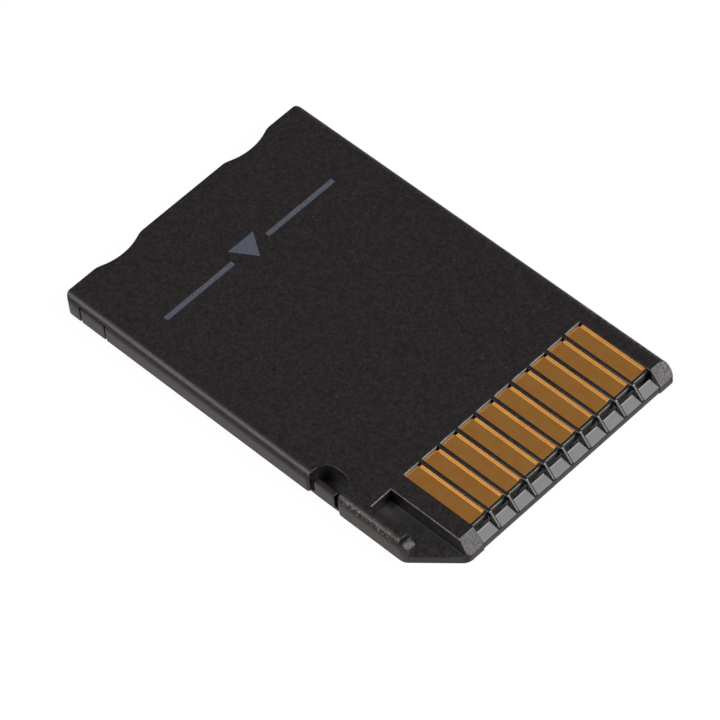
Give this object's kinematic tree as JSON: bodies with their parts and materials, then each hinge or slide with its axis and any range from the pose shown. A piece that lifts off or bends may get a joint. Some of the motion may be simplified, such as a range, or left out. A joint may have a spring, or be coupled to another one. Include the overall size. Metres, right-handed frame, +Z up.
{
  "type": "memory card adapter",
  "caption": "Flat black card adapter: gold contacts in ribbed windows at one end, a slot for a tiny flash card at the other.",
  "frame": {"origin": "middle of the underside of the card, on its label side", "axes": "+Z up with the contact side on top, +X across the width away from the cut corner, +Y along the length towards the card slot"},
  "size_m": [0.02, 0.031, 0.0016],
  "materials": {
    "black_shell": "black moulded plastic with a fine spark-eroded grain",
    "gold_pad": "flat gold plating with a soft shine",
    "gold_spring": "gold-plated bronze strip",
    "board_laminate": "bare tan glass-fibre laminate",
    "comb_plastic": "plain dark moulding",
    "chip_mould": "matt black moulding compound",
    "tinned_lead": "tinned copper",
    "capacitor_ceramic": "brown ceramic with tinned ends",
    "resistor_ceramic": "dark ceramic with tinned ends"
  },
  "bodies": {
    "card_body": {"capacitor_1": "capacitor_ceramic", "capacitor_2": "capacitor_ceramic", "capacitor_3": "capacitor_ceramic", "capacitor_4": "capacitor_ceramic", "circuit_board": "board_laminate", "contact_comb": "comb_plastic", "contact_pad_1": "gold_pad", "contact_pad_10": "gold_pad", "contact_pad_2": "gold_pad", "contact_pad_3": "gold_pad", "contact_pad_4": "gold_pad", "contact_pad_5": "gold_pad", "contact_pad_6": "gold_pad", "contact_pad_7": "gold_pad", "contact_pad_8": "gold_pad", "contact_pad_9": "gold_pad", "contact_side_shell": "black_shell", "controller_chip": "chip_mould", "controller_leads": "tinned_lead", "label_side_shell": "black_shell", "resistor_1": "resistor_ceramic", "resistor_2": "resistor_ceramic"},
    "contact_1": {"spring_contact_1": "gold_spring"},
    "contact_2": {"spring_contact_2": "gold_spring"},
    "contact_3": {"spring_contact_3": "gold_spring"},
    "contact_4": {"spring_contact_4": "gold_spring"},
    "contact_5": {"spring_contact_5": "gold_spring"},
    "contact_6": {"spring_contact_6": "gold_spring"},
    "contact_7": {"spring_contact_7": "gold_spring"},
    "contact_8": {"spring_contact_8": "gold_spring"}
  },
  "joints": [
    {"name": "flex_1", "type": "hinge", "parent": "card_body", "child": "contact_1", "pos_m": [-0.00385, -0.00085, 0.00136], "axis": [1, 0, 0], "range_deg": [0, 3], "stiffness_Nm_per_rad": 0.002},
    {"name": "flex_2", "type": "hinge", "parent": "card_body", "child": "contact_2", "pos_m": [-0.00275, -0.00085, 0.00136], "axis": [1, 0, 0], "range_deg": [0, 3], "stiffness_Nm_per_rad": 0.002},
    {"name": "flex_3", "type": "hinge", "parent": "card_body", "child": "contact_3", "pos_m": [-0.00165, -0.00085, 0.00136], "axis": [1, 0, 0], "range_deg": [0, 3], "stiffness_Nm_per_rad": 0.002},
    {"name": "flex_4", "type": "hinge", "parent": "card_body", "child": "contact_4", "pos_m": [-0.00055, -0.00085, 0.00136], "axis": [1, 0, 0], "range_deg": [0, 3], "stiffness_Nm_per_rad": 0.002},
    {"name": "flex_5", "type": "hinge", "parent": "card_body", "child": "contact_5", "pos_m": [0.00055, -0.00085, 0.00136], "axis": [1, 0, 0], "range_deg": [0, 3], "stiffness_Nm_per_rad": 0.002},
    {"name": "flex_6", "type": "hinge", "parent": "card_body", "child": "contact_6", "pos_m": [0.00165, -0.00085, 0.00136], "axis": [1, 0, 0], "range_deg": [0, 3], "stiffness_Nm_per_rad": 0.002},
    {"name": "flex_7", "type": "hinge", "parent": "card_body", "child": "contact_7", "pos_m": [0.00275, -0.00085, 0.00136], "axis": [1, 0, 0], "range_deg": [0, 3], "stiffness_Nm_per_rad": 0.002},
    {"name": "flex_8", "type": "hinge", "parent": "card_body", "child": "contact_8", "pos_m": [0.00385, -0.00085, 0.00136], "axis": [1, 0, 0], "range_deg": [0, 3], "stiffness_Nm_per_rad": 0.002}
  ]
}
